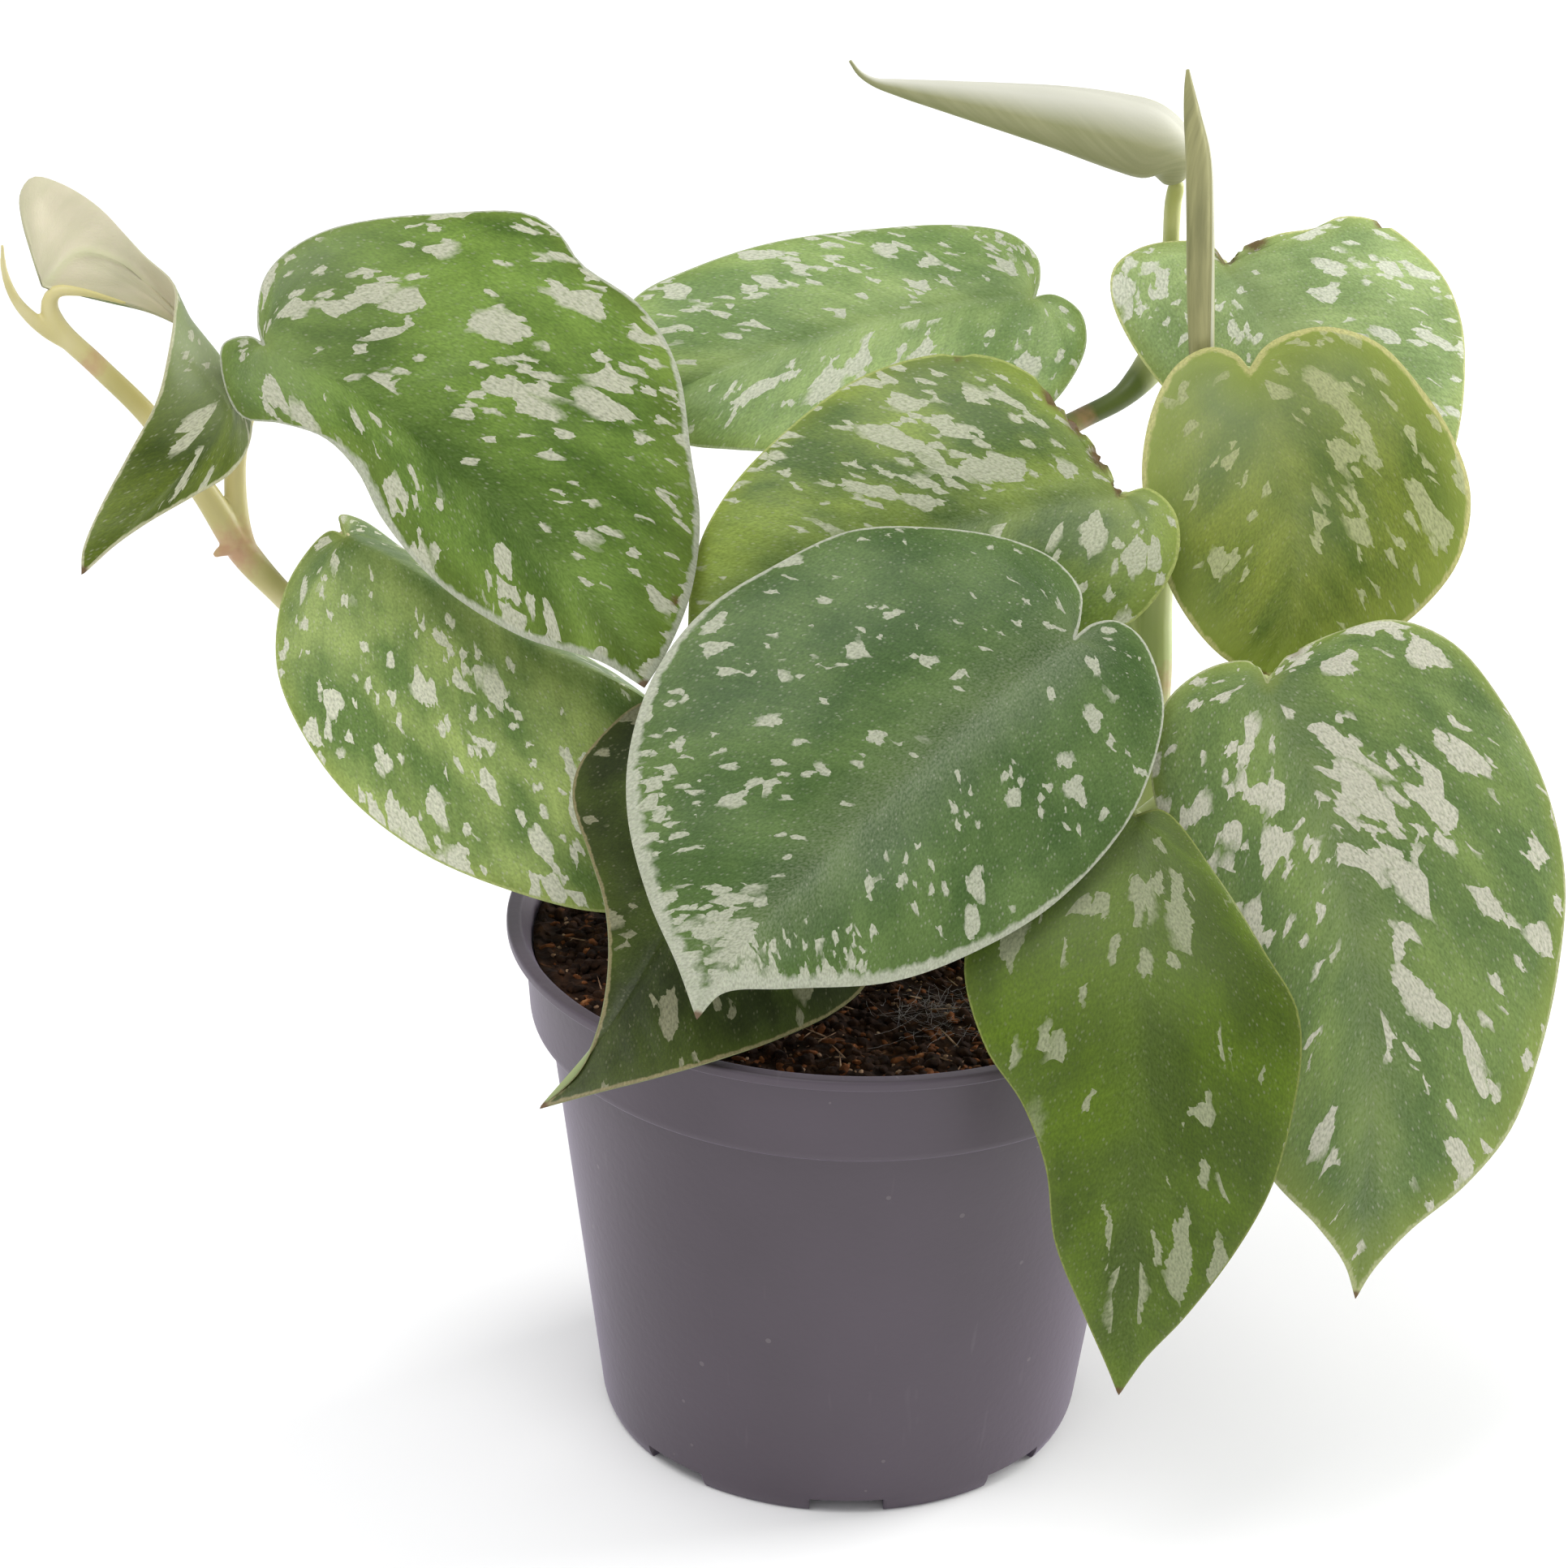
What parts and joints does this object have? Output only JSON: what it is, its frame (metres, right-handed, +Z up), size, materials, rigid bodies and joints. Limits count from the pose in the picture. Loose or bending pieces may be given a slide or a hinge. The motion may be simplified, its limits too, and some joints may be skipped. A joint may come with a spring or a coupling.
{
  "type": "potted vine plant",
  "caption": "Trailing vine with silver-flecked heart-shaped leaves and rolled young leaves on thin stems, standing in the soil of a round nursery pot with notched foot.",
  "frame": {"origin": "middle of the pot's base, on the surface that the pot stands on", "axes": "+Z up along the pot's axis, -Y towards the viewer of the picture, +X to the viewer's right"},
  "size_m": [0.2633, 0.1327, 0.244],
  "materials": {
    "pot": "moulded, satin",
    "soil": "loose, moist",
    "leaf": "satin, silver flecks",
    "young_leaf": "satin",
    "stem": "smooth"
  },
  "bodies": {
    "root": {"pot": "pot", "soil": "soil", "leaf_a": "leaf", "leaf_b": "leaf", "leaf_c": "leaf", "leaf_d": "leaf", "leaf_e": "leaf", "leaf_f": "leaf", "leaf_g": "leaf", "leaf_h": "leaf", "leaf_i": "leaf", "leaf_k": "leaf", "leaf_l": "leaf", "leaf_j": "young_leaf", "leaf_m": "young_leaf", "stem_left": "stem", "stem_rear": "stem", "stem_right": "stem", "stem_front": "stem", "stem_low": "stem"}
  },
  "joints": []
}
